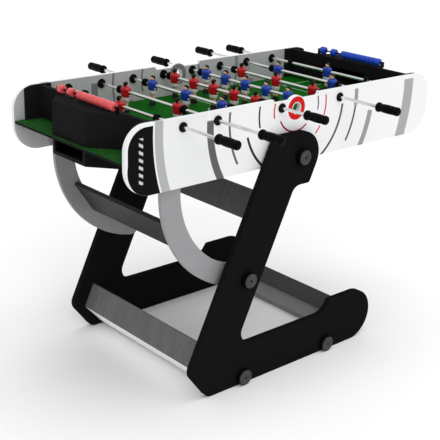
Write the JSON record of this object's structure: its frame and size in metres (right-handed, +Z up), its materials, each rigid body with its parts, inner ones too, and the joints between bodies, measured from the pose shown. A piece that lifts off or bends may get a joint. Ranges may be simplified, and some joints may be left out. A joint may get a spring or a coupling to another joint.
{
  "type": "foosball table",
  "caption": "Upright-folding foosball table with telescopic player rods, bead scorers, ball trays and slanted board legs.",
  "frame": {"origin": "on the floor, at the bottom centre of the whole table's box", "axes": "+X along the field towards the blue scorer's end, +Y across it towards the far side, +Z up"},
  "size_m": [1.38, 1.204, 0.9938],
  "materials": {
    "painted_panel": "printed satin laminate on board",
    "black_board": "satin black laminate on board",
    "grey_board": "satin black laminate on board",
    "green_board": "green printed field on board",
    "black_plastic": "fine texture",
    "black_rubber": "matt",
    "red_plastic": "gloss",
    "blue_plastic": "gloss",
    "steel": "bright plated"
  },
  "bodies": {
    "legs": {"near_leg": "black_board", "far_leg": "black_board", "leg_rails": "grey_board", "leg_spacers": "black_plastic"},
    "table": {"near_side_panel": "painted_panel", "far_side_panel": "painted_panel", "end_walls": "black_board", "corner_liners": "black_board", "playfield_board": "green_board", "goal_boxes": "black_board", "ball_return_trays": "black_plastic", "scorer_rails": "black_plastic", "rod_bushings": "black_plastic", "inner_rods": "steel", "arc_braces": "black_board", "arc_crossbar": "grey_board"},
    "rod1_slider": {"rod1_bumpers": "black_rubber"},
    "rod1": {"rod1_tube": "steel", "rod1_players": "red_plastic", "rod1_handle": "black_plastic"},
    "rod2_slider": {"rod2_bumpers": "black_rubber"},
    "rod2": {"rod2_tube": "steel", "rod2_players": "red_plastic", "rod2_handle": "black_plastic"},
    "rod3_slider": {"rod3_bumpers": "black_rubber"},
    "rod3": {"rod3_tube": "steel", "rod3_players": "blue_plastic", "rod3_handle": "black_plastic"},
    "rod4_slider": {"rod4_bumpers": "black_rubber"},
    "rod4": {"rod4_tube": "steel", "rod4_players": "red_plastic", "rod4_handle": "black_plastic"},
    "rod5_slider": {"rod5_bumpers": "black_rubber"},
    "rod5": {"rod5_tube": "steel", "rod5_players": "blue_plastic", "rod5_handle": "black_plastic"},
    "rod6_slider": {"rod6_bumpers": "black_rubber"},
    "rod6": {"rod6_tube": "steel", "rod6_players": "red_plastic", "rod6_handle": "black_plastic"},
    "rod7_slider": {"rod7_bumpers": "black_rubber"},
    "rod7": {"rod7_tube": "steel", "rod7_players": "blue_plastic", "rod7_handle": "black_plastic"},
    "rod8_slider": {"rod8_bumpers": "black_rubber"},
    "rod8": {"rod8_tube": "steel", "rod8_players": "blue_plastic", "rod8_handle": "black_plastic"},
    "red_scored_beads_body": {"red_scored_beads": "red_plastic"},
    "red_waiting_beads_body": {"red_waiting_beads": "red_plastic"},
    "blue_scored_beads_body": {"blue_scored_beads": "blue_plastic"},
    "blue_waiting_beads_body": {"blue_waiting_beads": "blue_plastic"},
    "pivot_turn_near": {"pivot_knob_near": "black_plastic"},
    "lock_turn_near": {"lock_knob_near": "black_plastic"},
    "leveller_turn_near_heel": {"leveller_near_heel": "black_plastic"},
    "leveller_turn_near_toe": {"leveller_near_toe": "black_plastic"},
    "pivot_turn_far": {"pivot_knob_far": "black_plastic"},
    "lock_turn_far": {"lock_knob_far": "black_plastic"},
    "leveller_turn_far_heel": {"leveller_far_heel": "black_plastic"},
    "leveller_turn_far_toe": {"leveller_far_toe": "black_plastic"}
  },
  "joints": [
    {"name": "fold", "type": "hinge", "parent": "legs", "child": "table", "pos_m": [0, 0, 0.77], "axis": [0, 1, 0], "range_deg": [0, 90]},
    {"name": "rod1_slide", "type": "slide", "parent": "table", "child": "rod1_slider", "axis": [0, 1, 0], "range_m": [-0.098, 0.09]},
    {"name": "rod1_spin", "type": "hinge", "parent": "rod1_slider", "child": "rod1", "pos_m": [-0.4788, 0, 0.936], "axis": [0, 1, 0], "continuous": true},
    {"name": "rod2_slide", "type": "slide", "parent": "table", "child": "rod2_slider", "axis": [0, 1, 0], "range_m": [-0.135, 0.101]},
    {"name": "rod2_spin", "type": "hinge", "parent": "rod2_slider", "child": "rod2", "pos_m": [-0.342, 0, 0.936], "axis": [0, 1, 0], "continuous": true},
    {"name": "rod3_slide", "type": "slide", "parent": "table", "child": "rod3_slider", "axis": [0, 1, 0], "range_m": [-0.067, 0.061]},
    {"name": "rod3_spin", "type": "hinge", "parent": "rod3_slider", "child": "rod3", "pos_m": [-0.2052, 0, 0.936], "axis": [0, 1, 0], "continuous": true},
    {"name": "rod4_slide", "type": "slide", "parent": "table", "child": "rod4_slider", "axis": [0, 1, 0], "range_m": [-0.065, 0.027]},
    {"name": "rod4_spin", "type": "hinge", "parent": "rod4_slider", "child": "rod4", "pos_m": [-0.0684, 0, 0.936], "axis": [0, 1, 0], "continuous": true},
    {"name": "rod5_slide", "type": "slide", "parent": "table", "child": "rod5_slider", "axis": [0, 1, 0], "range_m": [-0.052, 0.04]},
    {"name": "rod5_spin", "type": "hinge", "parent": "rod5_slider", "child": "rod5", "pos_m": [0.0684, 0, 0.936], "axis": [0, 1, 0], "continuous": true},
    {"name": "rod6_slide", "type": "slide", "parent": "table", "child": "rod6_slider", "axis": [0, 1, 0], "range_m": [-0.056, 0.072]},
    {"name": "rod6_spin", "type": "hinge", "parent": "rod6_slider", "child": "rod6", "pos_m": [0.2052, 0, 0.936], "axis": [0, 1, 0], "continuous": true},
    {"name": "rod7_slide", "type": "slide", "parent": "table", "child": "rod7_slider", "axis": [0, 1, 0], "range_m": [-0.101, 0.135]},
    {"name": "rod7_spin", "type": "hinge", "parent": "rod7_slider", "child": "rod7", "pos_m": [0.342, 0, 0.936], "axis": [0, 1, 0], "continuous": true},
    {"name": "rod8_slide", "type": "slide", "parent": "table", "child": "rod8_slider", "axis": [0, 1, 0], "range_m": [-0.09, 0.098]},
    {"name": "rod8_spin", "type": "hinge", "parent": "rod8_slider", "child": "rod8", "pos_m": [0.4788, 0, 0.936], "axis": [0, 1, 0], "continuous": true},
    {"name": "red_scored_slide", "type": "slide", "parent": "table", "child": "red_scored_beads_body", "axis": [0, 1, 0], "range_m": [-0.0295, 0.0065]},
    {"name": "red_waiting_slide", "type": "slide", "parent": "table", "child": "red_waiting_beads_body", "axis": [0, 1, 0], "range_m": [-0.0085, 0.0295]},
    {"name": "blue_scored_slide", "type": "slide", "parent": "table", "child": "blue_scored_beads_body", "axis": [0, 1, 0], "range_m": [-0.0295, 0.0065]},
    {"name": "blue_waiting_slide", "type": "slide", "parent": "table", "child": "blue_waiting_beads_body", "axis": [0, 1, 0], "range_m": [-0.0085, 0.0295]},
    {"name": "pivot_knob_near_turn", "type": "hinge", "parent": "legs", "child": "pivot_turn_near", "pos_m": [0, 0, 0.77], "axis": [0, 1, 0], "continuous": true},
    {"name": "lock_knob_near_turn", "type": "hinge", "parent": "legs", "child": "lock_turn_near", "pos_m": [-0.22399, 0, 0.38775], "axis": [0, 1, 0], "continuous": true},
    {"name": "leveller_near_heel_turn", "type": "hinge", "parent": "legs", "child": "leveller_turn_near_heel", "pos_m": [-0.227, 0, 0.026], "axis": [0, 1, 0], "range_deg": [0, 180]},
    {"name": "leveller_near_toe_turn", "type": "hinge", "parent": "legs", "child": "leveller_turn_near_toe", "pos_m": [0.178, 0, 0.026], "axis": [0, 1, 0], "range_deg": [0, 180]},
    {"name": "pivot_knob_far_turn", "type": "hinge", "parent": "legs", "child": "pivot_turn_far", "pos_m": [0, 0, 0.77], "axis": [0, 1, 0], "continuous": true},
    {"name": "lock_knob_far_turn", "type": "hinge", "parent": "legs", "child": "lock_turn_far", "pos_m": [-0.22399, 0, 0.38775], "axis": [0, 1, 0], "continuous": true},
    {"name": "leveller_far_heel_turn", "type": "hinge", "parent": "legs", "child": "leveller_turn_far_heel", "pos_m": [-0.227, 0, 0.026], "axis": [0, 1, 0], "range_deg": [0, 180]},
    {"name": "leveller_far_toe_turn", "type": "hinge", "parent": "legs", "child": "leveller_turn_far_toe", "pos_m": [0.178, 0, 0.026], "axis": [0, 1, 0], "range_deg": [0, 180]}
  ]
}
